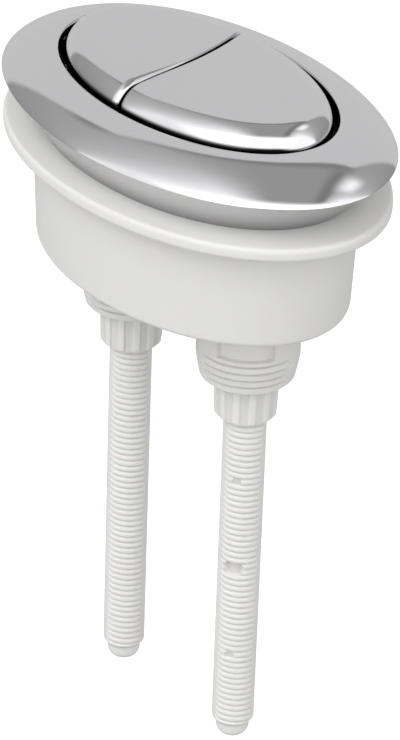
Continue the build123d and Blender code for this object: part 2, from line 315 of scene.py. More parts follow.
# %% Steel
wire_skin = {"Colour": (0.55, 0.55, 0.56, 1), "Patch Scale": 120.0, "Mottle": 0.2}
wire_skin |= {"Roughness": 0.28, "Gloss Drift": 0.2, "Grain Scale": 2600.0}
screw_skin = {"Colour": (0.62, 0.62, 0.60, 1), "Patch Scale": 300.0, "Mottle": 0.25}
screw_skin |= {"Roughness": 0.35, "Gloss Drift": 0.25, "Grain Scale": 2000.0}
wire_relief = {"relief": 0.25, "relief_depth": 0.00005}
screw_relief = {"relief": 0.2, "relief_depth": 0.00005}
spring_steel = skinned_material("spring_steel", wire_skin, **wire_relief, Metallic=1.0)
screw_steel = skinned_material("screw_steel", screw_skin, **screw_relief, Metallic=1.0)

# %% [markdown]
# Surfaces from grids
#
# Each piece is a grid of points: rows follow a profile, and columns go round. A grid is joined to itself
# where it meets, so one function lists its quads and another welds points that share a place. That also
# closes a row that has shrunk to a pole, whose quads become triangles. Modelling by hand could give the
# same forms, but a formula keeps them exact and easy to change.

# %% Grid helpers
weld_step = 1e-4


def grid_quads(rows, columns, loop_rows=False):
    """Corner numbers of the quads between neighbouring rows and columns, where columns go full circle."""
    row = np.arange(rows if loop_rows else rows - 1)[:, None]
    column = np.arange(columns)[None, :]
    next_row = (row + 1) % rows
    next_column = (column + 1) % columns
    corners = [row * columns + column, next_row * columns + column]
    corners += [next_row * columns + next_column, row * columns + next_column]
    return np.stack(np.broadcast_arrays(*corners), -1).reshape(-1, 4)


def weld(points, quads):
    """Points in one place become one point, and a quad that loses a side is a triangle, or nothing.

    Returns the numbers of the points that are kept, and the faces.
    """
    places = np.round(points / weld_step).astype(np.int64)
    _, first, number = np.unique(places, axis=0, return_index=True, return_inverse=True)
    quads = number.reshape(-1)[quads]
    lost = quads == np.roll(quads, -1, axis=1)
    whole = quads[~lost.any(axis=1)]
    pinched = quads[lost.sum(axis=1) == 1]
    kept = pinched != np.roll(pinched, -1, axis=1)
    return first, whole.tolist() + pinched[kept].reshape(-1, 3).tolist()


def join_grids(*grids):
    """One list of points and one of quads from several grids."""
    starts = np.cumsum([0] + [len(points.reshape(-1, 3)) for points, _ in grids])
    points = np.concatenate([points.reshape(-1, 3) for points, _ in grids])
    return points, np.concatenate([quads + start for (_, quads), start in zip(grids, starts)])


def soft_step(value, start, stop):
    """Smooth rise from 0 to 1 between two values."""
    share = np.clip((value - start) / (stop - start), 0, 1)
    return share * share * (3 - 2 * share)


# %% Piece helper
def new_piece(name, points, quads, material, body, crisp_angle=40, painted_shade=None):
    """Mesh piece in millimetres, welded, with outward faces, that stands for the node of its own name.

    The painted shade, if there is one, says for each point how much dark tone goes into its colour, from 0
    to 1.
    """
    points = points.reshape(-1, 3)
    kept, faces = weld(points, quads)
    mesh = bpy.data.meshes.new(name)
    mesh.from_pydata((points[kept] * MM).tolist(), [], faces)
    shaper = bmesh.new()
    shaper.from_mesh(mesh)
    bmesh.ops.recalc_face_normals(shaper, faces=shaper.faces)
    open_edges = sum(not edge.is_manifold for edge in shaper.edges)
    triangles = sum(len(face.verts) - 2 for face in shaper.faces)
    shaper.to_mesh(mesh)
    shaper.free()
    mesh.shade_smooth()
    mesh.set_sharp_from_angle(angle=np.radians(crisp_angle))
    # per-point painted shade, read by the shade group in the material
    if painted_shade is not None:
        attribute = mesh.attributes.new("painted_shade", "FLOAT", "POINT")
        attribute.data.foreach_set("value", painted_shade.reshape(-1)[kept])
    mesh.materials.append(material)
    piece = bpy.data.objects.new(name + "_surface", mesh)
    bpy.context.collection.objects.link(piece)
    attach(piece, body)
    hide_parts(name)
    print(name, triangles, "triangles,", open_edges, "open edges")
    return piece


# %% [markdown]
# Chrome ring
#
# The ring is a hollow plated moulding. Its top is level at the opening and falls ever more steeply to a
# crisp widest edge, and below that it is undercut to a narrow foot and a spigot in the housing. A bevelled
# torus would have the wrong curve, and chrome shows every error of curve. Here the top is a superellipse:
# its place across the band to the power 1.7 and its height to the power 1.3 add up to one, and an angle
# walks along it evenly.

# %% Ring profile
opening = np.array((37.6, 22.4))
ring_band = np.array((14.35, 10.9))
ring_crease_z = 12.8
dome_rise = 6.1
dome_shoulder = 1.7
dome_fall = 1.3
dome_steps = 56
inner_dome_steps = 20
ring_foot = np.array((41.7, 26.7))
ring_foot_z = 3.0
flank_hollow = 0.7
flank_steps = 14
ring_wall = 2.4
lip_round = 0.6
lip_steps = 7
lip_clear = 0.05
lip_z = ring_crease_z + dome_rise
wall_steps = np.array((1.6, 1.3, 1.1, 0.9, 0.75))
spigot_bore = np.array((38.0, 23.8))
spigot = np.array((40.2, 26.0))
spigot_bottom = -4.0


def ovals(sizes, heights):
    """Profile rows of half length, half width and height."""
    heights = np.broadcast_to(heights, (len(sizes),))
    return np.column_stack([sizes, heights])


def dome_rows(band, rise, steps):
    """Superellipse from the opening to the edge: the angle's sine sets the place, its cosine the height."""
    angle = np.linspace(0, np.pi / 2, steps)
    share = np.sin(angle) ** (2 / dome_shoulder)
    height = np.abs(np.cos(angle)) ** (2 / dome_fall)
    return ovals(opening + band * share[:, None], ring_crease_z + rise * height)


def flank_rows(edge, foot, steps):
    """Straight from the edge to the foot, less a parabola that makes it hollow."""
    share = np.linspace(0, 1, steps)
    sizes = edge + (foot - edge) * share[:, None] - 4 * flank_hollow * (share * (1 - share))[:, None]
    return ovals(sizes, ring_crease_z + (ring_foot_z - ring_crease_z) * share)


def lip_rows():
    """Opening's wall in short steps, rounded over at its top edge by a quarter circle."""
    angle = np.linspace(0, np.pi / 2, lip_steps)
    across = np.concatenate([0 * wall_steps, lip_round * (1 - np.cos(angle))])
    down = np.concatenate([wall_steps, lip_round * (1 - np.sin(angle))])
    return ovals(opening + across[:, None], lip_z - down)


def ring_profile():
    """Closed section: lip, dome, flank, foot and spigot, then back up the inside of the wall."""
    dome = dome_rows(ring_band, dome_rise, dome_steps)
    dome = dome[dome[:, 0] > opening[0] + lip_round + lip_clear]
    flank = flank_rows(opening + ring_band, ring_foot, flank_steps)
    spigot_heights = np.array((ring_foot_z, spigot_bottom, spigot_bottom))
    outside = ovals(np.array((spigot, spigot, spigot_bore)), spigot_heights)
    inner_band = ring_band - ring_wall
    inner_flank = flank_rows(opening + inner_band, spigot_bore, flank_steps)[::-1]
    inner_dome = dome_rows(inner_band, dome_rise - ring_wall, inner_dome_steps)[::-1]
    return np.concatenate([lip_rows(), dome, flank[1:], outside, inner_flank, inner_dome[1:]])


print("ring section,", len(ring_profile()), "rows")

# %% [markdown]
# The section is carried round the ovals. The wall of the opening and the undercut flank get painted shade
# here too: the wall is painted dark below its lip, and the flank darker towards its foot.

# %% Ring
ring_columns = 480
# painted shade on the opening's wall below the lip, and on the flank towards its foot
painted_wall_shade_from = (0.35, 1.1)
flank_shade = 0.55


def oval_grid(profile, turn):
    """Each profile row is an oval: half length times cosine, half width times sine, at its height."""
    x = profile[:, :1] * np.cos(turn)
    y = profile[:, 1:2] * np.sin(turn)
    z = np.broadcast_to(profile[:, 2:], x.shape)
    return np.stack([x, y, z], -1)


def make_ring():
    """Section carried round the ovals and closed on itself both ways, with painted shade by height."""
    profile = ring_profile()
    turn = np.linspace(0, 2 * np.pi, ring_columns, endpoint=False)
    quads = grid_quads(len(profile), ring_columns, loop_rows=True)
    points = oval_grid(profile, turn)
    in_opening = profile[:, 0] < opening[0] + lip_round
    below_lip = soft_step(lip_z - profile[:, 2], *painted_wall_shade_from)
    down_flank = np.clip((ring_crease_z - profile[:, 2]) / (ring_crease_z - ring_foot_z), 0, 1)
    # painted shade: dark below the lip, deepening down the flank
    shade = np.where(in_opening, below_lip, flank_shade * down_flank**2)
    painted_shade = np.broadcast_to(shade[:, None], points.shape[:2])
    return new_piece("bezel_ring", points, quads, chrome_plate, "housing", painted_shade=painted_shade)


make_ring()

# %% [markdown]
# Split button
#
# The button is one oval cap with a broad rounded edge, split by a line that runs straight from the front
# and then bends slowly towards the half flush side. Each half is its own hollow cap. A boolean cut through
# an oval would leave ragged triangles just where the chrome shows a bright line, so the rows of each grid
# follow the half's own outline, drawn in step by step: the oval's part of the outline and the split's part
# meet at two corners, which are found by halving an interval until the split's line crosses the oval. The
# corner in front is rounded in plan.

# %% Split line
button = np.array((36.6, 21.4))
split_gap = 0.9
split_x = -1.0
split_bend_y = -6.0
split_radius = 58.0
split_centre = np.array((split_x - split_radius, split_bend_y))
corner_round = {"full": 1.5, "half": 1.0}
side_sign = {"full": 1, "half": -1}


def split_normal(run):
    """Direction across the split, towards the full flush side: level in front, turning along the bend."""
    angle = np.maximum(run, 0) / split_radius
    return np.stack([np.cos(angle), np.sin(angle)], -1)


def split_points(run, offset):
    """Points beside the split's middle line, which is straight for a run below 0 and an arc above it."""
    place = split_centre + split_normal(run) * (split_radius + offset)[..., None]
    place[..., 1] += np.minimum(run, 0)
    return place


print("split bends from y", split_bend_y, "mm on, with a radius of", split_radius, "mm")


# %% Outlines
run_halvings = 60
run_limit = 60.0
sample_columns = (40, 20, 4)


def halve_until_met(inside, outside, gauge):
    """Bisection: narrows the run between a place inside the oval and one outside until they meet."""
    for _ in range(run_halvings):
        middle = (inside + outside) / 2
        within = gauge(middle) < 1
        inside = np.where(within, middle, inside)
        outside = np.where(within, outside, middle)
    return inside


def corner_at(name, inset, start, stop):
    """Run along the split and angle round the oval where the two meet, at each inset."""
    offset = side_sign[name] * (split_gap / 2 + inset)
    size = button - inset[:, None]

    def gauge(run):
        """Below 1 inside the oval, and above 1 outside it."""
        return ((split_points(run, offset) / size) ** 2).sum(axis=-1)

    run = halve_until_met(np.full(len(inset), start), np.full(len(inset), stop), gauge)
    place = split_points(run, offset)
    return run, np.arctan2(place[:, 1] / size[:, 1], place[:, 0] / size[:, 0]), place


def spread(start, stop, columns):
    """Even steps from each start towards its stop, which the next stretch begins with."""
    share = np.arange(columns) / columns
    return start[:, None] + (stop - start)[:, None] * share


def half_outline(name, inset, oval_columns, split_columns, corner_columns):
    """Rows of plan points round one half, one row for each inset: oval, split and rounded front corner."""
    sign = side_sign[name]
    front_inset = np.maximum(inset, corner_round[name])
    front_run, front_turn, front = corner_at(name, front_inset, 0.0, -run_limit)
    back_run, back_turn, _ = corner_at(name, inset, 0.0, run_limit)
    split_angle = np.full(len(inset), np.pi * (sign > 0))
    oval_angle = np.where(front_turn < 0, front_turn + 2 * np.pi, front_turn)
    if sign > 0:
        turn = spread(front_turn, back_turn, oval_columns)
        run = spread(back_run, front_run, split_columns)
        angle = spread(split_angle, oval_angle, corner_columns)
    else:
        turn = spread(back_turn, oval_angle, oval_columns)
        angle = spread(oval_angle, split_angle + 2 * np.pi, corner_columns)
        run = spread(front_run, back_run, split_columns)
    size = (button - inset[:, None])[:, None, :]
    oval = size * np.stack([np.cos(turn), np.sin(turn)], -1)
    split = split_points(run, np.broadcast_to(sign * (split_gap / 2 + inset)[:, None], run.shape))
    swing = np.stack([np.cos(angle), np.sin(angle)], -1)
    corner = front[:, None] + (front_inset - inset)[:, None, None] * swing
    return np.concatenate([oval, split, corner] if sign > 0 else [oval, corner, split], axis=1)


for name in side_sign:
    outline = half_outline(name, np.zeros(1), *sample_columns)[0]
    print(name, "flush half,", np.ptp(outline, axis=0).round(1), "mm in plan")


# %% [markdown]
# The top's height is a low crown less two drops, one for the oval's broad round and one for the split's
# small one. A drop is a quarter circle: at a depth inside the edge that is less than the radius, it is the
# radius less the height of the circle there. The depth inside the split is a plain distance, and the depth
# inside the oval is the inset whose smaller oval passes through the point. Round the front corner the
# small drop is measured from the corner's own curve, and fades out where that joins the oval.

# %% Height of the top
edge_round = 6.0
crown_edge_z = 22.6
crown_rise = 0.775
split_edge_round = {"full": 0.4, "half": 0.5}
split_front_round = {"full": 0.5, "half": 2.0}
split_front_y = (2, 17)
depth_limit = edge_round + 1
depth_halvings = 40


def split_depth(plan):
    """Signed distance to the split's middle line, positive on the full flush side."""
    round_bend = np.linalg.norm(plan - split_centre, axis=-1) - split_radius
    return np.where(plan[..., 1] < split_bend_y, plan[..., 0] - split_x, round_bend)


def oval_depth(plan):
    """Inset of the smaller oval that passes through each point, found by halving an interval."""
    low = np.zeros(plan.shape[:-1])
    high = np.full(plan.shape[:-1], depth_limit)
    for _ in range(depth_halvings):
        middle = (low + high) / 2
        within = ((plan / (button - middle[..., None])) ** 2).sum(axis=-1) < 1
        low = np.where(within, middle, low)
        high = np.where(within, high, middle)
    return low


def drop(depth, radius):
    """Fall of a quarter circle of the radius at a depth inside its edge."""
    short = np.clip(radius - depth, 0, radius)
    return radius - np.sqrt(radius**2 - short**2)


def split_front(plan):
    """0 at the middle of the split, rising softly to 1 at its front end."""
    return soft_step(-plan[..., 1], *split_front_y)


def split_round(name, plan):
    """Radius along the split's edge, which grows towards the front corner."""
    growth = split_front_round[name] - split_edge_round[name]
    return split_edge_round[name] + growth * split_front(plan)


def edge_fall(name, plan):
    """Fall of the top inside its edges: the oval's broad round and the split's small one."""
    from_oval = oval_depth(plan)
    from_split = side_sign[name] * split_depth(plan) - split_gap / 2
    radius = corner_round[name]
    off_oval = np.clip(radius - from_oval, 0, radius) * (plan[..., 1] < 0)
    off_split = np.clip(radius - from_split, 0, radius)
    in_corner = (off_oval > 0) & (off_split > 0)
    from_edge = np.where(in_corner, radius - np.hypot(off_oval, off_split), from_split)
    fade = np.where(in_corner, np.cos(np.arctan2(off_oval, off_split)) ** 2, 1)
    return drop(from_oval, edge_round) + fade * drop(from_edge, split_round(name, plan))


def crown_height(plan):
    """Low bowl upside down: the rise less its share of the squared distance from the middle."""
    return crown_edge_z + crown_rise * (1 - ((plan / button) ** 2).sum(axis=-1))


print("button's top at", crown_height(np.zeros(2)).round(2), "mm")

# %% Cap surface
button_wall = 2.0
skirt_z = 10.5
button_oval_columns = {"full": 400, "half": 300}
button_split_columns = 200
button_corner_columns = 16
button_centre = {"full": np.array((12.0, 0.0)), "half": np.array((-15.0, 0.0))}
edge_rows = 34
crown_rows = 12
inner_rows = 8


def cap_plan(name, insets, rows):
    """Outline rows at each inset, then rows that draw the last outline in to the half's centre."""
    columns = (button_oval_columns[name], button_split_columns, button_corner_columns)
    outline = half_outline(name, insets, *columns)
    share = np.linspace(0, 1, rows + 1)[1:, None, None]
    inside = outline[-1] + (button_centre[name] - outline[-1]) * share
    return np.concatenate([outline, inside])


def with_height(plan, height):
    """Plan points with a height beside each."""
    return np.concatenate([plan, np.broadcast_to(height, plan.shape[:2])[..., None]], axis=-1)


def button_grid(name):
    """Closed cap: inside from its centre out and down, the skirt's rim, the outer wall and the top."""
    angle = np.linspace(0, np.pi / 2, edge_rows)
    top = cap_plan(name, edge_round * (1 - np.cos(angle)), crown_rows)
    top = with_height(top, crown_height(top) - edge_fall(name, top))
    inner_round = edge_round - button_wall
    angle = np.linspace(0, np.pi / 2, inner_rows)
    inside = cap_plan(name, button_wall + inner_round * (1 - np.cos(angle)), inner_rows)
    fall = drop(oval_depth(inside) - button_wall, inner_round)
    inside = with_height(inside, crown_height(inside) - button_wall - fall)[::-1]
    skirt = [with_height(rows[None, :, :2], skirt_z) for rows in (inside[-1], top[0])]
    points = np.concatenate([inside, *skirt, top])
    return points, grid_quads(*points.shape[:2])


for name in side_sign:
    print(name, "flush cap,", button_grid(name)[0].shape[:2], "rows and columns")

# %% [markdown]
# The gap round the button and the front of the split are the darkest lines on the object, and their shade
# is painted into the chrome's colour. The ring's lip shades the button's edge a little above the gap in
# front, and less at the two ends, and that shadow is painted too.

# %% Painted shadow on the button
lip_shadow_front = (0, 8)
lip_shadow_rise = 0.35
lip_shadow_ends = (20, 34)
lip_shadow_fall = 0.8
lip_shadow_fade = (-0.5, 0.3)
split_shadow = (0.12, 0.5)


def button_painted_shade(name, points):
    """Painted shade in the split, and painted shadow below the ring's lip, higher in front and lower at the
    ends.
    """
    front = soft_step(-points[..., 1], *lip_shadow_front)
    ends = soft_step(np.abs(points[..., 0]), *lip_shadow_ends)
    shadow_z = lip_z + lip_shadow_rise * front - lip_shadow_fall * ends * (1 - front)
    below_lip = 1 - soft_step(points[..., 2] - shadow_z, *lip_shadow_fade)
    plan = points[..., :2]
    from_split = side_sign[name] * split_depth(plan) - split_gap / 2
    in_split = (1 - soft_step(from_split, *split_shadow)) * split_front(plan)
    return np.maximum(below_lip, in_split)


print("lip's shadow reaches", round(lip_z + lip_shadow_rise, 2), "mm in front")

# %% [markdown]
# Two posts under each cap take the screws that hold it on its plunger. They start inside the cap's top, so
# they stay separate closed tubes in the same mesh.

# %% Button halves
stem_x = 19.5
post_places = 13.0
post_radius = 2.6
post_top = 21.0
post_columns = 24
pilot_radius = 1.45
pilot_top = 16.8


def round_grid(profile, place, columns):
    """Profile of radius and height, turned about an upright axis."""
    turn = np.linspace(0, 2 * np.pi, columns, endpoint=False)
    x = place[0] + profile[:, :1] * np.cos(turn)
    y = place[1] + profile[:, :1] * np.sin(turn)
    points = np.stack([x, y, np.broadcast_to(profile[:, 1:], x.shape)], -1)
    return points, grid_quads(len(profile), columns)


def make_button(name):
    """Cap and two screw posts in one mesh: a post is a profile turned about an upright axis."""
    grids = [button_grid(name)]
    profile = [(0, post_top), (post_radius, post_top), (post_radius, skirt_z), (pilot_radius, skirt_z)]
    profile = np.array(profile + [(pilot_radius, pilot_top), (0, pilot_top)])
    for y in (-post_places, post_places):
        grids.append(round_grid(profile, (side_sign[name] * stem_x, y), post_columns))
    points, quads = join_grids(*grids)
    body = name + "_plunger"
    # painted shadow under the lip and painted shade in the split
    painted_shade = button_painted_shade(name, points)
    return new_piece(name + "_button", points, quads, chrome_plate, body, painted_shade=painted_shade)


for name in side_sign:
    make_button(name)

# %% [markdown]
# Housing
#
# The housing is one white moulding: a flange that seats on the lid, an oval cup through it, and under the
# cup's floor two bosses, each round a guide tube for a stem. Solids could be joined with booleans, but one
# welded skin shades evenly. The skin has three grids. A strip of ovals makes the flange and the cup's wall.
# Two more grids, one for each boss, are polar about the stem: their outermost row is half the oval floor,
# closed by a straight line down the middle, and their columns set the columns of the strip, so all three
# meet point to point.

# %% Cup section
floor_join = np.array((36.0, 22.0))
flange = np.array((51.0, 33.46))
flange_top = 3.0
cup_top = np.array((42.7, 28.5))
cup_end = np.array((41.7, 27.5))
cup_bottom = -25.5
bore_top = np.array((40.5, 26.3))
bore_end = np.array((39.5, 25.3))
bore_draft_z = -4.0
floor_z = -23.0
corner_setbacks = (0.8, 1.0, 0.4, 1.2, 0.9, 0.5, 1.5)


def rounded_path(corners, setbacks, steps=6):
    """Polyline with rounded corners: each corner is a curve from a setback before it to one after it."""
    corners = np.array(corners, float)
    bend = np.linspace(0, 1, steps)[:, None]
    parts = [corners[:1]]
    for before, corner, after, setback in zip(corners, corners[1:], corners[2:], setbacks):
        start, end = [corner + toward(corner, other) * setback for other in (before, after)]
        parts.append((1 - bend) ** 2 * start + 2 * bend * (1 - bend) * corner + bend**2 * end)
    return np.concatenate(parts + [corners[-1:]])


def toward(corner, other):
    """Step of one millimetre from a corner towards another, measured along the length and the height."""
    step = other - corner
    return step / np.hypot(step[0], step[-1])


def cup_profile():
    """Section of the flange and cup: floor, bore, flange, wall and underside."""
    corners = [(*floor_join, floor_z), (*bore_end, floor_z), (*bore_top, bore_draft_z)]
    corners += [(*bore_top, flange_top), (*flange, flange_top), (*flange, 0)]
    corners += [(*cup_top, 0), (*cup_end, cup_bottom), (*floor_join, cup_bottom)]
    return rounded_path(corners, corner_setbacks)


print("cup section,", len(cup_profile()), "rows")

# %% [markdown]
# Each boss has ridges in front and behind, which a fixing nut runs on, and a window above them. Cutting
# them with booleans would leave slivers, so the radius of the boss itself drops in the windows and in the
# gaps between the ridges, and the rows stand close together at their edges.

# %% Boss form
boss_radius = 11.4
boss_bottom = -43.9
boss_lead_in = 4.9
boss_lead_in_depth = 0.9
window_bottom = -35.5
window_depth = 1.3
window_half_angle = 33
window_side_soft = 3
window_end_soft = 0.1
ridge_count = 4
ridge_pitch = 1.8
ridge_gap = 0.6
ridge_depth = 0.6
ridge_soft = 0.12
ridge_half_angle = 55
ridge_run_out = 12
thread_facing = -45
rim_round = 0.3
boss_upper_rows = 12
boss_lower_rows = 4
window_row_clear = 0.3
ridge_row_clear = 0.1
window_rows = np.array((0.06, 0.02, -0.02, -0.06))
ridge_rows = np.array((0.02, -0.06, -0.12, -0.3, -0.48, -0.54, -0.62))


def facing_angle(turn):
    """Degrees from the nearer of the two directions that the threads face."""
    from_facing = np.degrees(turn) - thread_facing
    return np.abs((from_facing + 90) % 180 - 90)


def window_cut(turn, z):
    """1 in the windows above the ridges, and 0 elsewhere."""
    across = soft_step(window_half_angle + window_side_soft / 2 - facing_angle(turn), 0, window_side_soft)
    return across * soft_step(z, window_bottom - window_end_soft / 2, window_bottom + window_end_soft / 2)


def ridge_gaps(turn, z):
    """1 in the gaps between the boss's ridges, and 0 elsewhere."""
    down = window_bottom - ridge_pitch / 2 - z
    below = down % ridge_pitch
    gap = soft_step(below, 0, ridge_soft) * soft_step(ridge_gap - below, 0, ridge_soft)
    gap *= (down > 0) & (down < ridge_count * ridge_pitch)
    return gap * soft_step(ridge_half_angle + ridge_run_out / 2 - facing_angle(turn), 0, ridge_run_out)


def boss_surface(turn, z):
    """Radius of the boss: upright with a lead-in below, less its windows and the gaps between ridges."""
    below = np.clip((boss_bottom + boss_lead_in - z) / boss_lead_in, 0, 1)
    cut = window_depth * window_cut(turn, z) + ridge_depth * ridge_gaps(turn, z)
    return boss_radius - boss_lead_in_depth * below - cut


def boss_heights():
    """Rows down the boss, close together at the window's end and at each ridge."""
    gaps = window_bottom - ridge_pitch * (np.arange(ridge_count) + 0.5)
    ridges = (gaps[:, None] + ridge_rows).ravel()
    upper = np.linspace(cup_bottom, window_bottom + window_row_clear, boss_upper_rows)
    lower = np.linspace(ridges.min() - ridge_row_clear, boss_bottom + rim_round, boss_lower_rows)
    return np.unique(np.concatenate([upper, window_bottom + window_rows, ridges, lower]))[::-1]


print("boss,", len(boss_heights()), "rows down its outside")

# %% [markdown]
# The columns of a boss's grid run out over the floor to the cup's oval on one side and to the middle line
# on the other, so their angles are spaced for the floor, not for the boss.

# %% Floor columns
outer_arc_columns = 88
middle_columns = 32
least_slope = 1e-9


def polar_columns():
    """Angles about a stem: evenly along the oval's half, then evenly along the straight middle line."""
    corner = np.arctan2(floor_join[1], -stem_x)
    oval = np.linspace(-corner, corner, 2 * outer_arc_columns, endpoint=False)
    middle = np.linspace(corner, 2 * np.pi - corner, 2 * middle_columns, endpoint=False)
    return np.concatenate([oval, middle])


def floor_edge(turn):
    """Where each direction from the stem meets the floor's oval, or the middle line if that is nearer."""
    direction = np.stack([np.cos(turn), np.sin(turn)], -1)
    squeeze = direction / floor_join
    start = np.array((stem_x, 0)) / floor_join
    a = (squeeze**2).sum(axis=-1)
    b = squeeze @ start
    reach = (np.sqrt(b * b - a * (start @ start - 1)) - b) / a
    inward = np.minimum(direction[:, 0], -least_slope)
    to_middle = np.where(direction[:, 0] < 0, -stem_x / inward, np.inf)
    return np.minimum(reach, to_middle)


print("floor,", len(polar_columns()), "columns about each stem")

# %% Boss and guide
boss_bore = 9.2
boss_outside = (9.7, 11.5)
rim_middle = 0.3 * rim_round
underside_shares = (0, 0.35, 0.65, 0.9)
floor_shares = (0.15, 0.45, 0.75, 1)
guide_radius = 8.2
guide_bore = 6.7
guide_top = -8.3
guide_bottom = -38.9
guide_lead_in = (0.15, 0.2)
keyway_radius = 7.4
keyway_half_width = 1.0
# painted shade in the boss's ridge gaps and along its windows' edges, fading towards the ridges' ends
ridge_shade = 0.36
ridge_shade_fade = (30, 50)
window_edge_shade = 0.36


def guide_surface(turn):
    """Radius of the guide's bore, with a keyway in front and behind."""
    return np.where(np.abs(np.cos(turn)) * guide_bore < keyway_half_width, keyway_radius, guide_bore)


def boss_shade(turn, radius, height):
    """Painted shade on the boss's outside: the ridges' gaps, less towards their ends, and the windows'
    edges.
    """
    fade = 1 - soft_step(facing_angle(turn), *ridge_shade_fade)
    window = window_cut(turn, height)
    shade = ridge_shade * fade * ridge_gaps(turn, height) + window_edge_shade * 4 * window * (1 - window)
    return np.where((radius > boss_outside[0]) & (radius < boss_outside[1]), shade, 0)


def boss_grid(sign):
    """Floor's underside, boss, rim, groove, guide tube and floor's top, as rows of radius and height."""
    turn = polar_columns()
    own_turn = turn if sign > 0 else np.pi - turn
    edge = floor_edge(turn)
    foot = boss_surface(own_turn, cup_bottom)
    underside = [(edge + (foot - edge) * share, cup_bottom) for share in underside_shares]
    outside = [(boss_surface(own_turn, z), z) for z in boss_heights()]
    rim = boss_radius - boss_lead_in_depth
    bottom = [(rim, boss_bottom + rim_round), (rim - rim_middle, boss_bottom + rim_middle)]
    bottom += [(rim - rim_round, boss_bottom), (boss_bore + rim_round, boss_bottom)]
    groove = [(boss_bore, boss_bottom + rim_round), (boss_bore, cup_bottom), (guide_radius, cup_bottom)]
    groove += [(guide_radius, guide_bottom + rim_round), (guide_radius - rim_round, guide_bottom)]
    bore = guide_surface(own_turn)
    wider, lower = guide_lead_in
    inside = [(bore + wider, guide_bottom), (bore, guide_bottom + lower), (bore, guide_top - lower)]
    inside += [(bore + wider, guide_top), (guide_radius - rim_round, guide_top)]
    inside += [(guide_radius, guide_top - rim_round), (guide_radius, floor_z)]
    top = [(guide_radius + (edge - guide_radius) * share, floor_z) for share in floor_shares]
    rows = underside + outside + bottom + groove + inside + top
    radius = np.array([np.broadcast_to(size, turn.shape) for size, _ in rows])
    height = np.array([np.broadcast_to(z, turn.shape) for _, z in rows])
    x = sign * (stem_x + radius * np.cos(turn))
    points = np.stack([x, radius * np.sin(turn), height], -1)
    return points, grid_quads(*points.shape[:2]), boss_shade(own_turn, radius, height)


print("boss and guide,", boss_grid(1)[0].shape[:2], "rows and columns")


# %% Housing
def strip_turns():
    """Angles of the strip's columns: those of both polar grids where they meet the oval."""
    turn = polar_columns()[: 2 * outer_arc_columns + 1]
    edge = floor_edge(turn)
    x = stem_x + edge * np.cos(turn)
    y = edge * np.sin(turn)
    right = np.arctan2(y / floor_join[1], x / floor_join[0])
    return np.concatenate([right[:-1], np.pi - right[:0:-1]])


def make_housing():
    """Strip of ovals from the floor's top over the flange to its underside, welded to both bosses' grids."""
    strip = oval_grid(cup_profile(), strip_turns())
    grids = [(strip, grid_quads(*strip.shape[:2]), np.zeros(strip.shape[:2]))]
    grids += [boss_grid(sign) for sign in side_sign.values()]
    points, quads = join_grids(*[(points, quads) for points, quads, _ in grids])
    # painted shade of the bosses' ridges and windows; none on the strip
    painted_shade = np.concatenate([depths.reshape(-1) for _, _, depths in grids])
    return new_piece("housing", points, quads, housing_plastic, "housing", painted_shade=painted_shade)


make_housing()

# %% [markdown]
# Adjusting collars
#
# Each collar is a nut that turns on the end of its stem and moves the rod up or down. It has twelve flutes
# for the fingers, tapers a little and is chamfered below. A cylinder with an array of ribs would leave
# seams, so the flutes are part of the radius: at each angle it stands proud where a rib is.

# %% Collars
collar_top = -39.2
collar_bottom = -55.2
collar_radius = 7.4
collar_taper = 0.5
collar_chamfer = 1.3
collar_edge = 0.15
rib_count = 12
rib_width = 1.8
rib_height = 0.5
rib_soft = 0.35
# painted shade in the flutes between the ribs
flute_shade = 0.2
collar_bore = 6.1
collar_bead = 6.45
collar_bead_z = (-44.3, -43.1)
collar_thread_top = -46.5
collar_thread_bore = 5.3
collar_columns = 288
upright_rows = 12
upright_end = 1.6
chamfer_rows = 15
chamfer_start = 1.4


def flutes(turn):
    """1 in the flutes between the ribs, and 0 on the ribs."""
    pitch = 2 * np.pi / rib_count
    from_rib = np.abs((turn + pitch / 2) % pitch - pitch / 2) * collar_radius
    return soft_step(from_rib, (rib_width - rib_soft) / 2, (rib_width + rib_soft) / 2)


def collar_surface(turn, z):
    """Radius of the collar: a taper, less the flutes between ribs, and no more than the chamfer allows."""
    share = (collar_top - z) / (collar_top - collar_bottom)
    outer = collar_radius - collar_taper * share
    chamfer = collar_radius - collar_taper - collar_chamfer + (z - collar_bottom)
    return np.minimum(outer - rib_height * flutes(turn), chamfer)


def make_collar(name):
    """Fluted radius at each angle and height down the outside, then plain circles up the bore."""
    turn = np.linspace(0, 2 * np.pi, collar_columns, endpoint=False)
    upright = np.linspace(collar_top - collar_edge, collar_bottom + upright_end, upright_rows)
    chamfer = np.linspace(collar_bottom + chamfer_start, collar_bottom, chamfer_rows)
    heights = np.concatenate([upright, chamfer])
    outside = [(collar_surface(turn, z), z) for z in heights]
    inside = [(collar_thread_bore, collar_bottom), (collar_thread_bore, collar_thread_top)]
    bead_bottom, bead_top = collar_bead_z
    inside += [(collar_bore, collar_thread_top), (collar_bore, bead_bottom), (collar_bead, bead_bottom)]
    inside += [(collar_bead, bead_top), (collar_bore, bead_top), (collar_bore, collar_top)]
    inside += [(collar_surface(turn, collar_top) - collar_edge, collar_top)]
    rows = outside + inside
    radius = np.array([np.broadcast_to(size, turn.shape) for size, _ in rows])
    height = np.array([np.broadcast_to(z, turn.shape) for _, z in rows])
    x = side_sign[name] * stem_x + radius * np.cos(turn)
    points = np.stack([x, radius * np.sin(turn), height], -1)
    quads = grid_quads(len(rows), collar_columns, loop_rows=True)
    # painted shade in the flutes
    painted_shade = np.broadcast_to(flute_shade * flutes(turn), points.shape[:2])
    node = name + "_collar"
    return new_piece(node, points, quads, rod_plastic, node, painted_shade=painted_shade)


for name in side_sign:
    make_collar(name)

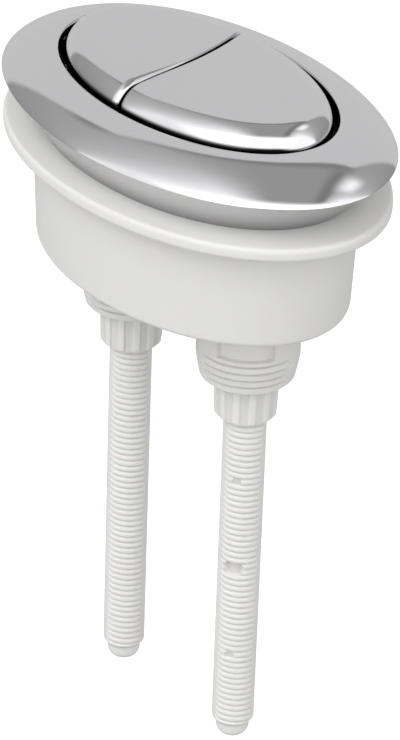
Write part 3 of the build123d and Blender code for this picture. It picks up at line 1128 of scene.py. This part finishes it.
# %% [markdown]
# Press rods
#
# The rods are threaded in front and behind and have a smooth strip down each side, which keys them in the
# stem. The mould parts along those strips, so the ridges run out softly on one side and stop short on the
# other. A swept thread would be a second body to merge with the strips. Here the radius itself carries the
# ridges: at each angle and height it is the strip's radius plus a low trapezoid of the left-hand thread's
# phase, faded out over the strips.

# %% Rod form
rod_top = -21.2
rod_bottom = -141.2
strip_radius = 4.8
thread_depth = 0.4
groove_depth = 0.15
thread_pitch = 1.5
ridge_share = 0.8
flank_share = 0.16
plug_radius = 3.8
plug_top = -137.2
plug_round = 2.6
thread_soft_side = (-58, -38)
thread_short_side = (52, 60)


def ridge_profile(phase):
    """Low trapezoid: up over a sixth of the pitch, level for a half, and down again."""
    share = phase % 1
    return soft_step(share, 0, flank_share) * soft_step(ridge_share - share, 0, flank_share)


def thread_sector(turn):
    """Where the ridges stand: soft on one side and short on the other, and the same again behind."""
    from_facing = (np.degrees(turn) - thread_facing + 90) % 180 - 90
    return soft_step(from_facing, *thread_soft_side) * (1 - soft_step(from_facing, *thread_short_side))


def thread_ridges(turn, z):
    """Height of the left-hand thread's ridges, from 0 in the grooves to 1 on the crests."""
    return ridge_profile((z - rod_top) / thread_pitch + turn / (2 * np.pi))


def rod_surface(turn, z):
    """Radius of the rod: strips, the thread's ridges, the chamfer above the plug and the plug."""
    ridge = thread_ridges(turn, z)
    body = strip_radius + thread_sector(turn) * ((thread_depth + groove_depth) * ridge - groove_depth)
    body = np.minimum(body, plug_radius + np.maximum(z - plug_top, 0))
    tip = np.clip(rod_bottom + plug_round - z, 0, plug_round)
    plug = plug_radius - plug_round + np.sqrt(plug_round**2 - tip**2)
    return np.where(z > plug_top, body, plug)


print("rod,", round((rod_top - plug_top) / thread_pitch), "turns of thread")


# %% [markdown]
# The full flush rod carries three marks of the mould's ejectors down its front: a pocket, and a small dent
# above and below it. Their edges are finer than the thread, so the columns crowd towards the front.

# %% Ejector marks
mark_direction = -57.6
pocket_z = -93.3
pocket_size = (4.2, 3.6)
pocket_depth = 0.9
dent_heights = (-70.0, -116.6)
dent_size = (1.9, 1.5)
dent_depth = 0.1
mark_soft = 0.25
# painted shade in the marks, darker under their upper edges
mark_shade = (0.34, 0.3)


def mark_patch(turn, z, height, size):
    """1 where the cubes of the shares across and along add up to less than 1, and softly 0 outside."""
    off = (np.degrees(turn) - mark_direction + 180) % 360 - 180
    across = np.abs(np.radians(off)) * strip_radius / (size[0] / 2)
    along = np.abs(z - height) / (size[1] / 2)
    from_centre = (across**3 + along**3) ** (1 / 3)
    soft = mark_soft / size[0]
    return 1 - soft_step(from_centre, 1 - soft, 1 + soft)


def marked(radius, painted_shade, turn, z):
    """Sink the pocket and the two dents below the strips. Each gets painted shade, most under its upper
    edge.
    """
    marks = [(pocket_z, pocket_size, pocket_depth)]
    marks += [(height, dent_size, dent_depth) for height in dent_heights]
    for height, size, depth in marks:
        patch = mark_patch(turn, z, height, size)
        under_edge = soft_step(z - height, size[1] / 4, size[1] / 2)
        radius = radius + (strip_radius - depth - radius) * patch
        painted_shade = painted_shade + (mark_shade[0] + mark_shade[1] * under_edge - painted_shade) * patch
    return radius, painted_shade


print("full flush rod,", 1 + len(dent_heights), "marks")

# %% Rods
rod_columns = {"full": 120, "half": 84}
column_crowding = 0.5
fine_rows_per_pitch = 10
hidden_rows_per_pitch = 5
fine_top = -38.2
plug_steps = np.array((0.01, 0, -0.7))
tip_steps = 9
# painted shade in the thread's grooves
groove_shade = 0.4
rod_crisp_angle = 70


def rod_turns(name):
    """Angles of the columns: even steps less a sine wave, which draws them towards the marks' direction."""
    even = np.linspace(0, 2 * np.pi, rod_columns[name], endpoint=False)
    return np.radians(mark_direction) + even - column_crowding * np.sin(even)


def rod_heights():
    """Rows down the rod: coarse inside the stem, fine along the thread, and round the tip."""
    hidden = np.arange(rod_top, fine_top, -thread_pitch / hidden_rows_per_pitch)
    fine = np.arange(fine_top, plug_top, -thread_pitch / fine_rows_per_pitch)
    angle = np.linspace(0, np.pi / 2, tip_steps)
    tip = rod_bottom + plug_round * (1 - np.sin(angle))
    return np.concatenate([hidden, fine, plug_top + plug_steps, tip])


def make_rod(name):
    """Radius at each angle and height down the rod, closed by a point at either end."""
    turn = rod_turns(name)[None, :]
    z = rod_heights()[:, None]
    radius = rod_surface(turn, z)
    # painted shade in the grooves between the thread's ridges
    painted_shade = groove_shade * thread_sector(turn) * (1 - thread_ridges(turn, z)) ** 2 * (z > plug_top)
    if name == "full":
        radius, painted_shade = marked(radius, painted_shade, turn, z)
    ends = np.zeros((1, rod_columns[name]))
    radius = np.concatenate([ends, radius, ends])
    painted_shade = np.concatenate([ends, painted_shade, ends])
    z = np.concatenate([z[:1], z, z[-1:]])
    x = side_sign[name] * stem_x + radius * np.cos(turn)
    points = np.stack([x, radius * np.sin(turn), np.broadcast_to(z, x.shape)], -1)
    quads = grid_quads(*points.shape[:2])
    node = name + "_rod"
    return new_piece(node, points, quads, rod_plastic, node, rod_crisp_angle, painted_shade)


for name in side_sign:
    make_rod(name)

# %% [markdown]
# Return springs
#
# A coil of round wire stands round each guide tube and lifts its button again. A curve with a bevel would
# do, but a mesh keeps to the same grid: a circle carried along a helix, square to its direction.

# %% Springs
spring_radius = 9.4
wire_radius = 0.45
spring_turns = 8
spring_bottom = -22.5
spring_top = 7.5
spring_steps = 48
wire_sides = 12
wire_crisp_angle = 60


def make_spring(name):
    """Circle of the wire carried along a helix, with a point at each end to close it."""
    turn = np.linspace(0, 2 * np.pi * spring_turns, spring_turns * spring_steps + 1)
    radial = np.stack([np.cos(turn), np.sin(turn), 0 * turn], -1)
    rise = (spring_top - spring_bottom) / (2 * np.pi * spring_turns)
    along = np.stack([-spring_radius * np.sin(turn), spring_radius * np.cos(turn), rise + 0 * turn], -1)
    along /= np.linalg.norm(along, axis=1)[:, None]
    across = np.cross(radial, along)
    start = np.array((side_sign[name] * stem_x, 0, spring_bottom))
    centre = start + spring_radius * radial + np.outer(rise * turn, (0, 0, 1))
    side = np.linspace(0, 2 * np.pi, wire_sides, endpoint=False)[None, :, None]
    wire = centre[:, None] + wire_radius * (np.cos(side) * radial[:, None] + np.sin(side) * across[:, None])
    ends = [np.repeat(centre[[end], None], wire_sides, axis=1) for end in (0, -1)]
    points = np.concatenate([ends[0], wire, ends[1]])
    quads = grid_quads(*points.shape[:2])
    node = name + "_spring"
    piece = new_piece(node, points, quads, spring_steel, "housing", wire_crisp_angle)
    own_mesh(piece)
    return piece


for name in side_sign:
    make_spring(name)

# %% [markdown]
# Inner pieces
#
# The plungers and their screws are right as they are and hardly show, so they keep their own solids and
# only take the finishes.

# %% Finish the inner pieces
def finish_node(name, material):
    """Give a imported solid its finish."""
    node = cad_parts[name]
    node.data.materials.clear()
    node.data.materials.append(material)
    print("finished", name)


for name in side_sign:
    finish_node(name + "_carrier", rod_plastic)
    finish_node(name + "_cap_screws", screw_steel)

# %% [markdown]
# Studio
#
# The part is shown above a white floor in a bright studio. Chrome shows what it faces: the level tops face
# the far wall, which is light grey, the ring's shoulder faces the ceiling, where the grey is deeper, and the
# edges towards the camera face a bright front. Lamps could light all that, but a backdrop made of soft
# panels puts every tone of the reflection in its place. A direction has three angles: how far it lies to the
# side of the picture, its bearing from the far wall, and how far it has risen from the far horizon, over the
# top, towards the camera.

# %% Studio angles
def between(tree, value, limits, soft):
    """1 between two limits, falling to 0 over the softness on either side."""
    rise = place_node(tree, "ShaderNodeMapRange", {"interpolation_type": "SMOOTHSTEP"}, Value=value)
    rise.inputs["From Min"].default_value = limits[0] - soft
    rise.inputs["From Max"].default_value = limits[0] + soft
    fall = place_node(tree, "ShaderNodeMapRange", {"interpolation_type": "SMOOTHSTEP"}, Value=value)
    fall.inputs["From Min"].default_value = limits[1] + soft
    fall.inputs["From Max"].default_value = limits[1] - soft
    return calculate(tree, "MULTIPLY", rise.outputs[0], fall.outputs[0])


def studio_angles(tree):
    """Angles of a ray in degrees: to the side, of bearing from the far wall, and of rise over the top."""
    ray = place_node(tree, "ShaderNodeTexCoord").outputs["Generated"]
    parts = []
    for turn in (camera_azimuth, camera_azimuth + np.pi / 2):
        along = place_node(tree, "ShaderNodeVectorMath", {"operation": "DOT_PRODUCT"})
        tree.links.new(ray, along.inputs[0])
        along.inputs[1].default_value = (np.cos(turn), np.sin(turn), 0)
        parts.append(along.outputs["Value"])
    across, away = parts
    height = place_node(tree, "ShaderNodeSeparateXYZ", Vector=ray).outputs["Z"]
    height = calculate(tree, "MAXIMUM", height, 0.0)
    side = calculate(tree, "ARCSINE", across)
    bearing = calculate(tree, "ARCTAN2", across, away)
    rise = calculate(tree, "ARCTAN2", height, away)
    return [calculate(tree, "DEGREES", angle) for angle in (side, bearing, rise)]


def lay_panel(tree, tone, panel, side, rise):
    """Blend a panel's tone over the tone so far, inside the panel's angles."""
    panel_tone, sides, rises, soft_sides, soft_ends = panel
    across = between(tree, side, sides, soft_sides)
    mask = calculate(tree, "MULTIPLY", across, between(tree, rise, rises, soft_ends))
    blend = place_node(tree, "ShaderNodeMix", {"data_type": "FLOAT"}, Factor=mask, A=tone, B=panel_tone)
    return blend.outputs["Result"]


print("far wall,", np.degrees(camera_azimuth + np.pi / 2).round(1), "degrees round from +X")

# %% [markdown]
# Each panel has a tone, its angles to the side, its angles of rise, and how soft its sides and ends are. The
# far wall comes last and goes by bearing, and its top edge climbs to the left.

# %% Backdrop
full_rise = 180
sky_tones = ((0, 0.31), (40, 0.36), (63, 0.42), (79, 0.53))
sky_tones += ((95, 0.76), (111, 1.08), (124, 1.6), (full_rise, 1.6))
studio_panels = {
    "left front": (0.95, (-100, -48), (100, 200), 12, 14),
    "right front": (1.15, (35, 100), (105, 200), 15, 15),
    "ceiling": (0.34, (-12, 30), (40, 119), 11, 9),
    "dark post": (0.22, (20, 27), (60, 112), 3, 6),
    "cornice": (0.24, (-34, 28), (52, 60), 4, 4),
    "side lamp": (1.12, (29, 40), (65, 84), 6, 7),
    "camera side": (0.12, (-16, 28), (164, 200), 10, 4),
}
wall_panel = (0.62, (-45, 41), (-20, 54), 2, 1.5)
wall_lean = 0.28


def add_backdrop():
    """World that brightens from the far horizon over the top to the camera, with panels laid over it."""
    world = bpy.data.worlds.new("studio")
    bpy.context.scene.world = world
    world.use_nodes = True
    tree = world.node_tree
    side, bearing, rise = studio_angles(tree)
    sky = place_node(tree, "ShaderNodeValToRGB", Fac=calculate(tree, "DIVIDE", rise, full_rise))
    ramp = sky.color_ramp
    while len(ramp.elements) < len(sky_tones):
        ramp.elements.new(0.5)
    for element, (angle, shade) in zip(ramp.elements, sky_tones):
        element.position = angle / full_rise
        element.color = (shade, shade, shade, 1)
    tone = sky.outputs["Color"]
    for panel in studio_panels.values():
        tone = lay_panel(tree, tone, panel, side, rise)
    wall_rise = calculate(tree, "MULTIPLY_ADD", calculate(tree, "MINIMUM", side, 0.0), wall_lean, rise)
    tone = lay_panel(tree, tone, wall_panel, bearing, wall_rise)
    tree.links.new(tone, tree.nodes["Background"].inputs["Color"])


bpy.context.scene.view_settings.view_transform = "Standard"
add_backdrop()
print("backdrop,", len(studio_panels) + 1, "panels")

# %% [markdown]
# The floor is white in the picture, but a floor as bright as that would light the ridges from below and
# wash them out. So only the camera sees it white. The chrome and the plastic see it dim in front and
# brighter behind, where the ring's far edge mirrors it. It lies below the lowest place that the rods reach.

# %% Floor
floor_half = 2.0
floor_colour = (0.3, 0.3, 0.3, 1)
floor_roughness = 0.9
floor_bright_behind = (0.05, 0.4)
floor_glow = (0.19, 0.32)
rod_reach = 24 * MM


def floor_light(tree):
    """Emission of the floor: full for the camera, else a glow that rises behind the part."""
    place = place_node(tree, "ShaderNodeTexCoord").outputs["Object"]
    behind = place_node(tree, "ShaderNodeVectorMath", {"operation": "DOT_PRODUCT"})
    tree.links.new(place, behind.inputs[0])
    behind.inputs[1].default_value = (-np.sin(camera_azimuth), np.cos(camera_azimuth), 0)
    glow = place_node(tree, "ShaderNodeMapRange", {"interpolation_type": "SMOOTHSTEP"})
    tree.links.new(behind.outputs["Value"], glow.inputs["Value"])
    for title, value in zip(("From Min", "From Max", "To Min", "To Max"), floor_bright_behind + floor_glow):
        glow.inputs[title].default_value = value
    seen = place_node(tree, "ShaderNodeLightPath").outputs["Is Camera Ray"]
    return calculate(tree, "MAXIMUM", seen, glow.outputs["Result"])


def add_floor():
    """Sheet below the lowest place that the rods' tips can reach."""
    height = cad_box[0][2] - rod_reach
    corners = [(-1, -1), (1, -1), (1, 1), (-1, 1)]
    mesh = bpy.data.meshes.new("floor")
    mesh.from_pydata([(x * floor_half, y * floor_half, height) for x, y in corners], [], [(0, 1, 2, 3)])
    material = bpy.data.materials.new("studio_floor")
    material.use_nodes = True
    surface = material.node_tree.nodes["Principled BSDF"]
    surface.inputs["Base Color"].default_value = floor_colour
    surface.inputs["Roughness"].default_value = floor_roughness
    surface.inputs["Emission Color"].default_value = (1, 1, 1, 1)
    material.node_tree.links.new(floor_light(material.node_tree), surface.inputs["Emission Strength"])
    mesh.materials.append(material)
    floor = bpy.data.objects.new("floor", mesh)
    bpy.context.collection.objects.link(floor)
    print("floor at", round(height / MM, 1), "mm")


add_floor()

# %% [markdown]
# A soft lamp, high up to the camera's left, draws the ridges on the plastic. It is kept out of the chrome,
# which mirrors the backdrop, the floor and the part itself.

# %% Lamp
lamp_size = 0.6
lamp_distance = 1.2
lamp_power = 3.5
lamp_elevation = np.radians(50)
lamp_bearing = camera_azimuth - np.pi / 2 - np.radians(60)


def add_lamp():
    """Square lamp aimed at the part, left out of the chrome's reflections."""
    light = bpy.data.lights.new("left_lamp", "AREA")
    light.size = lamp_size
    light.energy = lamp_power
    lamp = bpy.data.objects.new("left_lamp", light)
    level = np.cos(lamp_elevation)
    toward_lamp = (np.cos(lamp_bearing) * level, np.sin(lamp_bearing) * level, np.sin(lamp_elevation))
    lamp.location = aim_point + Vector(toward_lamp) * lamp_distance
    lamp.rotation_euler = Vector(toward_lamp).to_track_quat("Z", "Y").to_euler()
    lamp.visible_glossy = False
    bpy.context.collection.objects.link(lamp)
    print("lamp", lamp_distance, "m away")


add_lamp()
